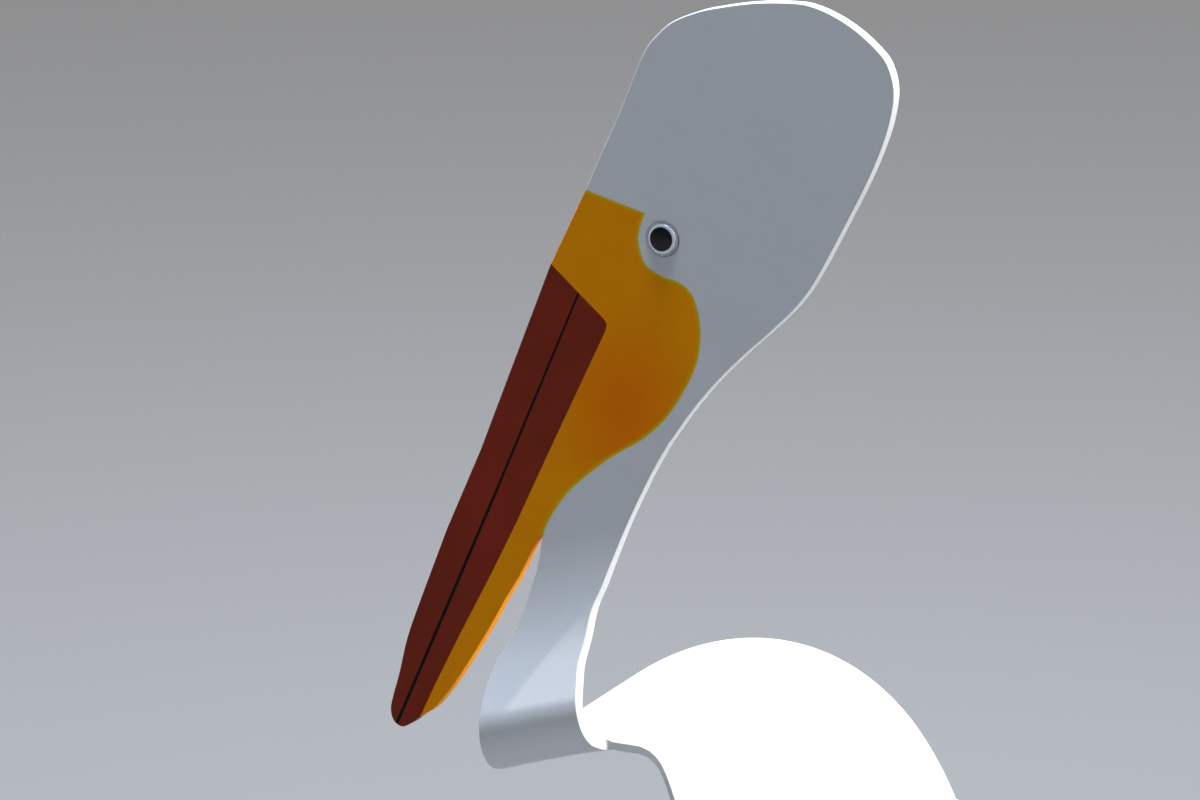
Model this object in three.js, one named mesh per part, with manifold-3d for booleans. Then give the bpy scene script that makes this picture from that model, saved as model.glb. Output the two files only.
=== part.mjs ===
// Pelican garden ornament: one sheet of white plastic, cut to shape, painted and bent warm,
// shown on a plain display stand.
//
// Millimetres, Z up. The flat head panel stands in the XZ plane with the bill toward -X.
// Below the neck the sheet curls forward and under, and then runs up and back as the body,
// which arches over a ridge with a wing hanging down on each side.
import * as THREE from 'three';
import Module from 'manifold-3d';

const wasm = await Module();
wasm.setup();
const rad = THREE.MathUtils.degToRad;
const vec = (x, y, z) => new THREE.Vector3(x, y, z);

// ---------------------------------------------------------------- driving dimensions
const SHEET = 6;            // thickness of the plastic sheet
const HALF = SHEET / 2;
const CUT = 0.3;            // width of the thin cuts that part one piece from the next

const FOLD_TILT = 16;       // the neck is bent about a line tilted this far up toward +X
const NECK_CUT = 86;        // the neck starts this far down from the eye
const CROTCH = 115;         // and parts from the pouch here
const NECK_FLAT = 117;      // the sheet is flat down to here
const NECK_SWEEP = [52, 21.9];          // then leans forward: length, degrees
const NECK_STRAIGHT = 18.2;
const CURL_RADIUS = 18;     // and curls under and back
const CURL_TURN = 111.9;
const BREAST_CUT = 175;     // the neck ends and the breast starts
const CURL_END = 213;       // the breast leaves the curl and spreads into the body

const RIDGE_START = vec(-37.6, 17.2, -219.6);   // front end of the back's ridge, from the eye
const RIDGE_HEADING = 58;   // the ridge runs away at this angle from +X
const RIDGE_SLOPE = 23.3;   // and starts uphill
const RIDGE = [[34, 0], [112, -66], [34, -22], [16, 0], [30, 40], [44, 0]];
const ROUND = [[25, 32], [25, 22], [25, 11.5], [25, 5]];    // how each side turns down

const FRONT = { right: 4, left: -4, turn: 45 };     // where the breast meets the back
const SIDE_CUT = 24.4;      // the back is this wide each side of its ridge
const WING_END = 115;       // and each wing ends this far out
const TAIL_CUT = 206;       // the tail starts this far along the ridge
const TAIL_END = 270;
const BREAST_COLUMNS = 10;  // faces across the breast, and along each long piece of the body
const BODY_ROWS = 24;

const EYE = { radius: 8, height: 3.4 };

const BASE = { length: 230, width: 170, thickness: 8, corner: 24, bevel: 1.2 };
const FEET_CLEAR = 46;      // height of the lowest point of the bird above the base
const ROD_RADIUS = 5;
const SADDLE = { radius: 13, height: 9 };
const BASE_AHEAD = 26;      // the base reaches forward from the rod, under the neck

// ---------------------------------------------------------------- colours
const white = [0.9, 0.9, 0.89];
const orange = [0.93, 0.53, 0.03];
const brown = [0.3, 0.07, 0.045];
const black = [0.02, 0.02, 0.022];
const grey = [0.16, 0.165, 0.17];
const steel = [0.62, 0.63, 0.64];

const group = new THREE.Group();

function add(name, geometry, colour, roughness = 0.5, metalness = 0) {
  const material = new THREE.MeshStandardMaterial({ roughness, metalness });
  material.color.setRGB(...colour);
  const mesh = new THREE.Mesh(geometry, material);
  mesh.name = name;
  group.add(mesh);
  return mesh;
}

// ---------------------------------------------------------------- solids
// A closed mesh for the boolean library, with equal points merged.
function solid(geometry) {
  const source = geometry.index ? geometry.toNonIndexed() : geometry;
  const p = source.attributes.position;
  const seen = new Map();
  const points = [];
  const corners = [];
  for (let i = 0; i < p.count; i++) {
    const xyz = [p.getX(i), p.getY(i), p.getZ(i)];
    const key = xyz.map((v) => Math.round(v * 1e4)).join(' ');
    if (!seen.has(key)) {
      seen.set(key, points.length / 3);
      points.push(...xyz);
    }
    corners.push(seen.get(key));
  }
  const triangles = [];
  for (let i = 0; i < corners.length; i += 3) {
    const [a, b, c] = corners.slice(i, i + 3);
    if (a !== b && b !== c && c !== a) triangles.push(a, b, c);
  }
  return new wasm.Manifold(new wasm.Mesh({
    numProp: 3,
    vertProperties: new Float32Array(points),
    triVerts: new Uint32Array(triangles),
  }));
}

function geometryOf(manifold) {
  const mesh = manifold.getMesh();
  const geometry = new THREE.BufferGeometry();
  geometry.setAttribute('position', new THREE.BufferAttribute(mesh.vertProperties, 3));
  geometry.setIndex(new THREE.BufferAttribute(mesh.triVerts, 1));
  return geometry;
}

// A flat piece of the panel: an outline in X and Z, from Y = -half to Y = half.
function flat(outline, half = HALF) {
  const geometry = new THREE.ExtrudeGeometry(new THREE.Shape(outline), {
    depth: 2 * half, bevelEnabled: false, steps: 1,
  });
  geometry.rotateX(Math.PI / 2);
  geometry.translate(0, half, 0);
  return solid(geometry);
}

// The thin cut along a line, as a ribbon to subtract.
function cutAlong(line) {
  const side = (from, to) => {
    const d = to.clone().sub(from).normalize();
    return new THREE.Vector2(-d.y, d.x);
  };
  const left = [];
  const right = [];
  line.forEach((p, i) => {
    const before = side(line[Math.max(i - 1, 0)], line[Math.max(i, 1)]);
    const after = side(line[Math.min(i, line.length - 2)], line[Math.min(i + 1, line.length - 1)]);
    const s = before.clone().add(after).normalize();
    s.multiplyScalar(CUT / 2 / s.dot(after));
    left.push(p.clone().add(s));
    right.unshift(p.clone().sub(s));
  });
  return flat([...left, ...right], HALF + 1);
}

// A bent piece of sheet: rows of points on the middle of the sheet, with the way up at each.
function sheet(rows) {
  const across = rows[0].length;
  const points = [];
  for (const side of [HALF, -HALF]) {
    for (const row of rows) {
      for (const { point, up } of row) points.push(...point.clone().addScaledVector(up, side));
    }
  }
  const under = rows.length * across;
  const at = (row, column) => row * across + column;
  const index = [];
  const quad = (a, b, c, d) => index.push(a, b, c, a, c, d);
  for (let r = 0; r + 1 < rows.length; r++) {
    for (let c = 0; c + 1 < across; c++) {
      const [i, j, k, l] = [at(r, c), at(r, c + 1), at(r + 1, c + 1), at(r + 1, c)];
      quad(i, j, k, l);
      quad(under + l, under + k, under + j, under + i);
    }
    for (const c of [0, across - 1]) {
      const [i, j] = c === 0 ? [at(r, c), at(r + 1, c)] : [at(r + 1, c), at(r, c)];
      quad(i, j, under + j, under + i);
    }
  }
  for (let c = 0; c + 1 < across; c++) {
    for (const r of [0, rows.length - 1]) {
      const [i, j] = r === 0 ? [at(r, c + 1), at(r, c)] : [at(r, c), at(r, c + 1)];
      quad(i, j, under + j, under + i);
    }
  }
  const geometry = new THREE.BufferGeometry();
  geometry.setAttribute('position', new THREE.Float32BufferAttribute(points, 3));
  geometry.setIndex(index);
  return geometry;
}

// ---------------------------------------------------------------- curves
// A line that turns through [length, degrees] stretches and runs straight beyond both ends.
function bentLine(startAngle, stretches) {
  return (distance) => {
    let [x, y, angle, rest] = [0, 0, rad(startAngle), distance];
    for (const [length, turn] of distance > 0 ? stretches : []) {
      const step = Math.min(rest, length);
      const k = rad(turn) / length;
      if (k) {
        x += (Math.sin(angle + k * step) - Math.sin(angle)) / k;
        y += (Math.cos(angle) - Math.cos(angle + k * step)) / k;
      } else {
        x += step * Math.cos(angle);
        y += step * Math.sin(angle);
      }
      angle += k * step;
      rest -= step;
      if (rest <= 0) return { x, y, angle };
    }
    return { x: x + rest * Math.cos(angle), y: y + rest * Math.sin(angle), angle };
  };
}

// A smooth function through [x, y] knots.
function through(knots) {
  const slope = (i) => {
    const a = knots[Math.max(i - 1, 0)];
    const b = knots[Math.min(i + 1, knots.length - 1)];
    return (b[1] - a[1]) / (b[0] - a[0]);
  };
  return (x) => {
    let i = knots.findIndex((k) => x < k[0]) - 1;
    if (i === -2) i = knots.length - 2;
    i = Math.max(i, 0);
    const [[x0, y0], [x1, y1]] = [knots[i], knots[i + 1]];
    const h = x1 - x0;
    const t = (x - x0) / h;
    return (1 + 2 * t) * (1 - t) ** 2 * y0 + t * (1 - t) ** 2 * h * slope(i)
      + t * t * (3 - 2 * t) * y1 + t * t * (t - 1) * h * slope(i + 1);
  };
}

const smooth = (points, count) =>
  new THREE.SplineCurve(points.map((p) => new THREE.Vector2(...p))).getPoints(count);
const corner = (points) => points.map((p) => new THREE.Vector2(...p));
const ease = (t) => t * t * (3 - 2 * t);
const steps = (from, to, count) =>
  Array.from({ length: count + 1 }, (_, i) => from + ((to - from) * i) / count);

// ---------------------------------------------------------------- the neck's bends
const down = vec(Math.sin(rad(FOLD_TILT)), 0, -Math.cos(rad(FOLD_TILT)));
const across = vec(Math.cos(rad(FOLD_TILT)), 0, Math.sin(rad(FOLD_TILT)));
const back = vec(0, 1, 0);
const up = vec(0, 0, 1);

const neckBend = bentLine(0, [
  NECK_SWEEP,
  [NECK_STRAIGHT, 0],
  [CURL_RADIUS * rad(CURL_TURN), -CURL_TURN],
]);

// s runs down the neck from the eye and round the curl, t runs across it.
function onNeck(s, t) {
  const bend = neckBend(s - NECK_FLAT);
  const point = down.clone().multiplyScalar(NECK_FLAT + bend.x)
    .addScaledVector(across, t).addScaledVector(back, -bend.y);
  const normal = back.clone().multiplyScalar(Math.cos(bend.angle))
    .addScaledVector(down, Math.sin(bend.angle));
  const along = down.clone().multiplyScalar(Math.cos(bend.angle))
    .addScaledVector(back, -Math.sin(bend.angle));
  return { point, up: normal, along };
}

// The neck's two edges: the throat, under the pouch, and the nape.
const throat = through([
  [86, -47], [89.5, -56.7], [97.6, -74], [106.8, -86], [115, -93], [124.1, -97.2], [133.3, -102.4],
  [151.1, -113.5], [164.9, -125], [172.7, -130.4], [181.2, -134.1], [188.6, -136.1],
  [198.4, -139.2], [205.4, -141], [211.2, -142.3], [216, -142.7],
]);
const nape = through([
  [86, -21.3], [96, -31.8], [108, -43], [119, -52.6], [131.2, -62.1], [141.2, -69.2],
  [150.1, -75.6], [163, -80.7], [173.6, -84.9], [184, -86.6], [195.1, -88.1], [203, -88.9],
  [210, -88.8], [215.8, -87],
]);

function neckRow(s, columns) {
  return steps(throat(s) + CUT / 2, nape(s), columns).map((t) => onNeck(s, t));
}

// ---------------------------------------------------------------- the body's arch
const heading = vec(Math.cos(rad(RIDGE_HEADING)), Math.sin(rad(RIDGE_HEADING)), 0);
const toLeft = vec(heading.y, -heading.x, 0);
const ridge = bentLine(RIDGE_SLOPE, RIDGE);
const flank = bentLine(0, ROUND.map(([length, turn]) => [length, -turn]));

// r runs back along the ridge, w runs out over the left side, and over the right when negative.
function onBody(r, w) {
  const g = ridge(r);
  const f = flank(Math.abs(w));
  const side = Math.sign(w) || 1;
  const point = RIDGE_START.clone().addScaledVector(heading, g.x)
    .addScaledVector(toLeft, side * f.x).addScaledVector(up, g.y + f.y);
  const backward = heading.clone().multiplyScalar(Math.cos(g.angle))
    .addScaledVector(up, Math.sin(g.angle));
  const outward = toLeft.clone().multiplyScalar(Math.cos(f.angle))
    .addScaledVector(up, side * Math.sin(f.angle));
  return { point, up: outward.clone().cross(backward).normalize(), backward, outward };
}

// ---------------------------------------------------------------- the flat head panel
const crown = smooth([
  [-53.6, -15.7], [-36.9, 17.9], [-29.8, 33.6], [-21.2, 51.5], [-14.6, 67.1], [-8.5, 80.4],
  [-1.4, 88.8], [5, 93.8], [14.4, 97.9], [23.7, 100.6], [42.4, 104.2], [60.9, 105.5],
  [70.1, 104.5], [79.3, 101.4], [88.5, 96.6], [97, 90.4], [103.7, 83.2], [107, 72],
  [105.2, 58.6], [100.9, 45.6], [95.1, 32.4], [88.3, 19.1], [73.8, -7.9], [64.6, -21.6],
  [51.5, -35], [39.9, -45.5], [25.4, -60], [13.6, -74.2], [3.4, -88.6],
], 72);
const noseLine = [-53.6, -15.7];
const culmen = corner([[-104.8, -138.1], [-88, -101]]);
const tip = smooth([
  [-117.5, -169.9], [-124.5, -188.6], [-128.9, -205.8], [-132.1, -216.7], [-133.3, -222.8],
  [-131.9, -227.8], [-127.8, -230.2], [-123, -228], [-118.2, -224.3], [-111.8, -219.9],
  [-106.6, -214.2], [-100.2, -205.8], [-91.7, -192.9], [-83.4, -179.4], [-76.2, -166.8],
  [-69.1, -155.1], [-62.3, -141.6], [-59, -136.4],
], 48);
const onPanel = (s, t) => {
  const { x, z } = onNeck(s, t).point;
  return new THREE.Vector2(x, z);
};
const napeTop = onPanel(NECK_CUT, nape(NECK_CUT));
const chin = steps(CROTCH, NECK_CUT, 9).map((s) => onPanel(s, throat(s)));
const panel = flat([...crown.slice(0, -1), napeTop, ...chin.slice().reverse(),
  ...tip.slice().reverse(), ...culmen]);

// The orange face and pouch, bounded behind by a painted edge that bends round the eye.
const faceTop = corner([[-60, 25.3], [-37, 18.1], [-8.4, 10.2]]);
const faceBack = smooth([
  [-8.4, 10.2], [-10.9, 3.6], [-11.4, -3], [-8.3, -11.6], [-0.7, -16.2], [8.5, -18.6],
  [14.3, -23.8], [17.4, -33.4], [17.8, -43.9], [14.6, -56.8], [4.1, -74.8], [-7.4, -86.6],
  [-18.4, -93.8],
], 36);
const faceEdge = [...faceTop, ...faceBack.slice(1, -1), ...chin.slice().reverse()];
const face = flat([...faceEdge, ...corner([[-50, -260], [-200, -260], [-200, 25.3]])], HALF + 1);

// The bill, with its square end against the face.
const billEdge = [
  ...corner([[-58, -10.8], noseLine, [-28.4, -37]]),
  ...smooth([[-28.4, -37], [-26.7, -39.4], [-27.4, -43]], 4).slice(1),
  ...corner([[-54.1, -97.6], [-70.5, -131.7], [-82.8, -155.7], [-98.2, -184.3], [-111.1, -209.3],
    [-117.9, -223.4], [-122, -236]]),
];
const bill = flat([...billEdge, ...corner([[-200, -236], [-200, -10.8]])], HALF + 1);

// ---------------------------------------------------------------- pieces of the sheet
const faceCut = cutAlong(faceEdge);
const billCut = cutAlong(billEdge);
add('head', geometryOf(panel.subtract(face).subtract(faceCut)), white, 0.35);
add('pouch', geometryOf(panel.intersect(face).subtract(bill).subtract(faceCut).subtract(billCut)),
  orange, 0.4);
add('bill', geometryOf(panel.intersect(bill).subtract(billCut)), brown, 0.4);

const neckStations = [
  ...steps(NECK_CUT + CUT, NECK_FLAT, 8),
  ...steps(NECK_FLAT, BREAST_CUT, 12).slice(1),
];
add('neck', sheet(neckStations.map((s) => neckRow(s, 2))), white, 0.35);

// The breast: round the curl, then spreading out as far as the front of the back.
const frontOfBack = through([[-SIDE_CUT, FRONT.right], [0, 0], [SIDE_CUT, FRONT.left]]);
function spread(u) {
  const edge = (s) => throat(s) + CUT / 2 + (nape(s) - throat(s) - CUT / 2) * u;
  const start = onNeck(CURL_END, edge(CURL_END));
  start.along.addScaledVector(across, edge(CURL_END) - edge(CURL_END - 1));
  const w = SIDE_CUT * (2 * u - 1);
  const end = onBody(frontOfBack(w) - CUT, w);
  const turn = rad(FRONT.turn) * u ** 3;
  const arrive = end.backward.clone().multiplyScalar(Math.cos(turn))
    .addScaledVector(end.outward, Math.sin(turn));
  const reach = start.point.distanceTo(end.point);
  return (v) => ({
    point: start.point.clone().multiplyScalar((1 + 2 * v) * (1 - v) ** 2)
      .addScaledVector(start.along, v * (1 - v) ** 2 * reach)
      .addScaledVector(end.point, ease(v))
      .addScaledVector(arrive, v * v * (v - 1) * reach),
    up: start.up.clone().lerp(end.up, ease(Math.min(v * (1 + 0.7 * u ** 3), 1))).normalize(),
  });
}
add('breast', sheet([
  ...steps(BREAST_CUT + CUT, CURL_END, 9).map((s) => neckRow(s, BREAST_COLUMNS)),
  ...steps(0, 1, 9).slice(1).map((v) => steps(0, 1, BREAST_COLUMNS).map((u) => spread(u)(v))),
]), white, 0.35);

// Where each side panel's edges run, as distance back along the ridge against distance out.
const leftFront = through([
  [24.4, -4], [29, 0.9], [34, 4.2], [41, 6.2], [50, 6.7], [60, 7], [72, 10], [85, 18], [97, 32],
  [107, 54], [113, 82], [115, 104],
]);
const rightFront = through([
  [24.4, 4], [30, 15], [38, 33], [47, 52], [58, 67], [72, 78], [86, 86], [99, 94], [109, 102],
  [115, 112],
]);
const rear = through([
  [24.4, 206], [36, 205], [50, 201], [64, 194], [78, 184], [90, 173], [100, 160], [108, 145],
  [113, 130], [115, 118],
]);

const lerp = THREE.MathUtils.lerp;
const wingColumns = steps(0, 1, 20).map((u) =>
  lerp(SIDE_CUT + CUT, WING_END, (1 - Math.cos(u * Math.PI)) / 2));
function wing(side, front) {
  return sheet(steps(0, 1, BODY_ROWS).map((v) => {
    const row = wingColumns.map((w) => onBody(lerp(front(w), rear(w), v), side * w));
    return side > 0 ? row : row.reverse();
  }));
}
const backColumns = steps(-SIDE_CUT, SIDE_CUT, 8);
add('back', sheet(steps(0, 1, BODY_ROWS).map((v) => backColumns.map((w) =>
  onBody(lerp(frontOfBack(w), TAIL_CUT - CUT, v), w)))), white, 0.35);
add('wing_left', wing(1, leftFront), white, 0.35);
add('wing_right', wing(-1, rightFront), white, 0.35);

const tailHalf = through([
  [TAIL_CUT, SIDE_CUT], [222, 25.5], [240, 28], [254, 27.5], [263, 23.5], [268, 16], [TAIL_END, 7],
]);
add('tail', sheet([...steps(TAIL_CUT, 254, 10), 258.5, 263, 266, 268.4, TAIL_END].map((r) =>
  steps(-tailHalf(r), tailHalf(r), 8).map((w) => onBody(r, w)))), white, 0.35);

// ---------------------------------------------------------------- eyes
// A low round dome stuck to each side of the head.
const eyeProfile = [
  new THREE.Vector2(0, 0), new THREE.Vector2(EYE.radius, 0), new THREE.Vector2(EYE.radius, 0.9),
  ...steps(12, 78, 5).map((a) => new THREE.Vector2(EYE.radius * Math.cos(rad(a)),
    0.9 + (EYE.height - 0.9) * Math.sin(rad(a)))),
  new THREE.Vector2(0, EYE.height),
];
for (const [name, side] of [['eye_left', -1], ['eye_right', 1]]) {
  const eye = new THREE.LatheGeometry(eyeProfile, 28);
  if (side < 0) eye.rotateX(Math.PI);
  eye.translate(0, side * (HALF + CUT), 0);
  add(name, geometryOf(solid(eye)), black, 0.15);
}

// ---------------------------------------------------------------- stand
const bird = new THREE.Box3().setFromObject(group);
const baseTop = bird.min.z - FEET_CLEAR;

// The rod stands under the highest point of the ridge, where the back is level.
let top = 0;
while (ridge(top).angle > 0) top += 0.5;
const seat = onBody(top, 0).point;
const underside = seat.z - HALF - CUT;

const rod = new THREE.CylinderGeometry(ROD_RADIUS, ROD_RADIUS,
  underside - SADDLE.height - baseTop - 2 * CUT, 24);
rod.rotateX(Math.PI / 2);
rod.translate(seat.x, seat.y, (underside - SADDLE.height + baseTop) / 2);
add('stand_rod', rod, steel, 0.3, 1);

// A round block on the rod, hollowed on top to the curve of the back.
const block = new THREE.CylinderGeometry(SADDLE.radius, SADDLE.radius * 0.8, SADDLE.height, 32);
block.rotateX(Math.PI / 2);
block.translate(seat.x, seat.y, underside - SADDLE.height / 2);
const under = sheet(steps(top - 24, top + 24, 12).map((r) => steps(-24, 24, 12).map((w) => {
  const place = onBody(r, w);
  place.point.addScaledVector(place.up, -CUT);
  return place;
})));
add('stand_saddle', geometryOf(solid(block).subtract(solid(under))), grey, 0.6);

const plate = new THREE.Shape();
const [lx, ly, c] = [BASE.length / 2 - BASE.bevel, BASE.width / 2 - BASE.bevel, BASE.corner];
plate.moveTo(-lx + c, -ly);
plate.lineTo(lx - c, -ly);
plate.absarc(lx - c, -ly + c, c, -Math.PI / 2, 0);
plate.lineTo(lx, ly - c);
plate.absarc(lx - c, ly - c, c, 0, Math.PI / 2);
plate.lineTo(-lx + c, ly);
plate.absarc(-lx + c, ly - c, c, Math.PI / 2, Math.PI);
plate.lineTo(-lx, -ly + c);
plate.absarc(-lx + c, -ly + c, c, Math.PI, 1.5 * Math.PI);
const base = new THREE.ExtrudeGeometry(plate, {
  depth: BASE.thickness - 2 * BASE.bevel, bevelThickness: BASE.bevel, bevelSize: BASE.bevel,
  bevelSegments: 2, curveSegments: 8,
});
base.translate(0, 0, BASE.bevel);
base.rotateZ(rad(RIDGE_HEADING));
base.translate(seat.x - BASE_AHEAD * heading.x, seat.y - BASE_AHEAD * heading.y,
  baseTop - BASE.thickness);
add('stand_base', base, grey, 0.5);

// ---------------------------------------------------------------- common frame
// The origin is the centre of the box's underside.
const box = new THREE.Box3().setFromObject(group);
const middle = box.getCenter(vec(0, 0, 0));
for (const mesh of group.children) mesh.geometry.translate(-middle.x, -middle.y, -box.min.z);

export default group;
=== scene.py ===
# Pelican garden ornament: one sheet of white plastic, cut to shape, painted and bent warm,
# shown on a plain display stand.
import math

import bpy
import numpy as np
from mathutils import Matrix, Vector, geometry


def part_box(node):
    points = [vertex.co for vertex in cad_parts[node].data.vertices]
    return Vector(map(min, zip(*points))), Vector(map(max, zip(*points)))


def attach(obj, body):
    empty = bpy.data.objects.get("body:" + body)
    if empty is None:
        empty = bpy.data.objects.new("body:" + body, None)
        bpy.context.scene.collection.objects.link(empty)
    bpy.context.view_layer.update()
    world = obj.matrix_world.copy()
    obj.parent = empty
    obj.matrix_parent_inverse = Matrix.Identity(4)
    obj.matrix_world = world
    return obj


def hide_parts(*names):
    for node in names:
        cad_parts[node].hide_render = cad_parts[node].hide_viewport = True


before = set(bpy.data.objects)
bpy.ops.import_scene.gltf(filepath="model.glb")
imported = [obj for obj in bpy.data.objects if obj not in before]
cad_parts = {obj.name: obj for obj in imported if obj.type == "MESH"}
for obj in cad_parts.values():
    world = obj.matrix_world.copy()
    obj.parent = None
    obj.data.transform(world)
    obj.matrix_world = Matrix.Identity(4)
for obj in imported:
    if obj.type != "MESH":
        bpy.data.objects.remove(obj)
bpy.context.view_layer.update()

MM = 0.001
BACK, UP = Vector((0, 1, 0)), Vector((0, 0, 1))


# ---------------------------------------------------------------- places read from the frame
head_low, head_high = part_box("head")
eye_low, eye_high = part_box("eye_left")
EYE_AT = (eye_low + eye_high) / 2
EYE_AT.y = (head_low.y + head_high.y) / 2       # the eye's centre, in the middle of the sheet
HALF = (head_high.y - head_low.y) / 2 / MM      # half the sheet's thickness, in millimetres


def placed(point):
    """A point in millimetres from the eye's centre, as a place in the frame."""
    return EYE_AT + point * MM


# ---------------------------------------------------------------- sizes of the bent sheet, mm
ARRIS = 0.55                # rounding of the cut edges
FOLD_TILT = 16              # the neck is bent about a line tilted this far up toward +X
NECK_TOP = 86               # the nape leaves the crown here, measured down from the eye
CROTCH = 115                # the throat leaves the pouch
NECK_FLAT = 117             # the sheet is flat down to here
NECK_SWEEP = (52, 21.9)     # then it leans forward: length, degrees
NECK_STRAIGHT = 18.2
CURL_START = NECK_FLAT + NECK_SWEEP[0] + NECK_STRAIGHT
CURL_RADIUS = 18            # and it curls under and back
CURL_TURN = 111.9
CURL_END = 213              # the breast leaves the curl and spreads into the body
NAPE_TURN = 45              # its nape edge meets the body turned out this far
NAPE_LEAD = 0.7             # and leans over ahead of its throat edge by this share
RIDGE_START = Vector((-37.6, 17.2, -219.6))
RIDGE_HEADING = 58
RIDGE_SLOPE = 23.3
# The arch along the ridge and out from it to a wing's tip: lengths, degrees.
RIDGE = ((34, 0), (112, -66), (34, -22), (16, 0), (30, 40), (44, 0))
ROUND = ((25, 32), (25, 22), (25, 11.5), (25, 5))
BACK_HALF = 24.4            # the back is this wide each side of its ridge
FRONT_RIGHT, FRONT_LEFT = 4, -4     # the back's front edge, where it meets each wing
WING_REACH = 115
TAIL_FROM, TAIL_ROUND, TAIL_END = 206, 262, 270     # its end is rounded from TAIL_ROUND on


# ---------------------------------------------------------------- curves
def bent_line(start_angle, stretches):
    """A line that turns through (length, degrees) stretches and is straight beyond them."""

    def at(distance):
        x, y, angle, rest = 0.0, 0.0, math.radians(start_angle), distance
        for length, turn in stretches if distance > 0 else ():
            step = min(rest, length)
            k = math.radians(turn) / length
            if k:
                x += (math.sin(angle + k * step) - math.sin(angle)) / k
                y += (math.cos(angle) - math.cos(angle + k * step)) / k
            else:
                x += step * math.cos(angle)
                y += step * math.sin(angle)
            angle += k * step
            rest -= step
            if rest <= 0:
                return x, y, angle
        return x + rest * math.cos(angle), y + rest * math.sin(angle), angle

    return at


def through(knots):
    """A smooth function through (x, y) knots."""

    def slope(i):
        a, b = knots[max(i - 1, 0)], knots[min(i + 1, len(knots) - 1)]
        return (b[1] - a[1]) / (b[0] - a[0])

    def at(x):
        i = max((j for j in range(len(knots) - 1) if x >= knots[j][0]), default=0)
        (x0, y0), (x1, y1) = knots[i], knots[i + 1]
        h = x1 - x0
        return blend(y0, h * slope(i), y1, h * slope(i + 1), (x - x0) / h)

    return at


def smooth(points, count):
    """A spline through flat points, as count stretches."""
    points = [Vector(p) for p in points]
    last = len(points) - 1
    line = []
    for n in range(count + 1):
        i, t = divmod(last * n / count, 1)
        i = int(i)
        a, b = points[max(i - 1, 0)], points[i]
        c, d = points[min(i + 1, last)], points[min(i + 2, last)]
        va, vb = (c - a) / 2, (d - b) / 2
        line.append(
            (2 * b - 2 * c + va + vb) * t**3 + (3 * c - 3 * b - 2 * va - vb) * t**2 + va * t + b
        )
    return line


def ease(t):
    return t * t * (3 - 2 * t)


def blend(start, leaving, end, arriving, t):
    """The cubic from start to end that leaves and arrives in the ways given."""
    return (
        start * ((1 + 2 * t) * (1 - t) ** 2)
        + leaving * (t * (1 - t) ** 2)
        + end * ease(t)
        + arriving * (t * t * (t - 1))
    )


def steps(start, end, count):
    return [start + (end - start) * i / count for i in range(count + 1)]


def lerp(a, b, t):
    return a + (b - a) * t


# ---------------------------------------------------------------- the neck's bends
tilt = math.radians(FOLD_TILT)
DOWN = Vector((math.sin(tilt), 0, -math.cos(tilt)))
ACROSS = Vector((math.cos(tilt), 0, math.sin(tilt)))
neck_bend = bent_line(
    0, (NECK_SWEEP, (NECK_STRAIGHT, 0), (CURL_RADIUS * math.radians(CURL_TURN), -CURL_TURN))
)


def on_neck(s, t):
    """Middle of the sheet s mm down from the eye and t mm across: point, way up, way along."""
    x, y, angle = neck_bend(s - NECK_FLAT)
    point = DOWN * (NECK_FLAT + x) + ACROSS * t - BACK * y
    way_up = BACK * math.cos(angle) + DOWN * math.sin(angle)
    return point, way_up, DOWN * math.cos(angle) - BACK * math.sin(angle)


throat = through((
    (86, -47), (89.5, -56.7), (97.6, -74), (106.8, -86), (115, -93), (124.1, -97.2), (133.3, -102.4),
    (151.1, -113.5), (164.9, -125), (172.7, -130.4), (181.2, -134.1), (188.6, -136.1),
    (198.4, -139.2), (205.4, -141), (211.2, -142.3), (216, -142.7),
))
nape = through((
    (86, -21.3), (96, -31.8), (108, -43), (119, -52.6), (131.2, -62.1), (141.2, -69.2),
    (150.1, -75.6), (163, -80.7), (173.6, -84.9), (184, -86.6), (195.1, -88.1), (203, -88.9),
    (210, -88.8), (215.8, -87),
))

# ---------------------------------------------------------------- the body's arch
heading = math.radians(RIDGE_HEADING)
AWAY = Vector((math.cos(heading), math.sin(heading), 0))
TO_LEFT = Vector((AWAY.y, -AWAY.x, 0))
ridge = bent_line(RIDGE_SLOPE, RIDGE)
flank = bent_line(0, tuple((length, -turn) for length, turn in ROUND))


def on_body(r, w):
    """r mm back along the ridge and w mm out to the left: point, way up, way back, way out."""
    gx, gy, g_angle = ridge(r)
    fx, fy, f_angle = flank(abs(w))
    side = math.copysign(1, w)
    point = RIDGE_START + AWAY * gx + TO_LEFT * (side * fx) + UP * (gy + fy)
    backward = AWAY * math.cos(g_angle) + UP * math.sin(g_angle)
    outward = TO_LEFT * math.cos(f_angle) + UP * (side * math.sin(f_angle))
    return point, outward.cross(backward).normalized(), backward, outward


# Where the panels' edges run: distance back along the ridge against distance out from it.
front_of_back = through(((-BACK_HALF, FRONT_RIGHT), (0, 0), (BACK_HALF, FRONT_LEFT)))
left_front = through((
    (24.4, -4), (29, 0.9), (34, 4.2), (41, 6.2), (50, 6.7), (60, 7), (72, 10), (85, 18), (97, 32),
    (107, 54), (113, 82), (115, 104),
))
right_front = through((
    (24.4, 4), (30, 15), (38, 33), (47, 52), (58, 67), (72, 78), (86, 86), (99, 94), (109, 102),
    (115, 112),
))
wing_rear = through((
    (24.4, 206), (36, 205), (50, 201), (64, 194), (78, 184), (90, 173), (100, 160), (108, 145),
    (113, 130), (115, 118),
))
# Half the tail's width, along the ridge.
tail_half = through((
    (206, 24.4), (222, 25.5), (240, 28), (254, 27.5), (263, 23.5), (268, 16), (270, 7),
))


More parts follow.
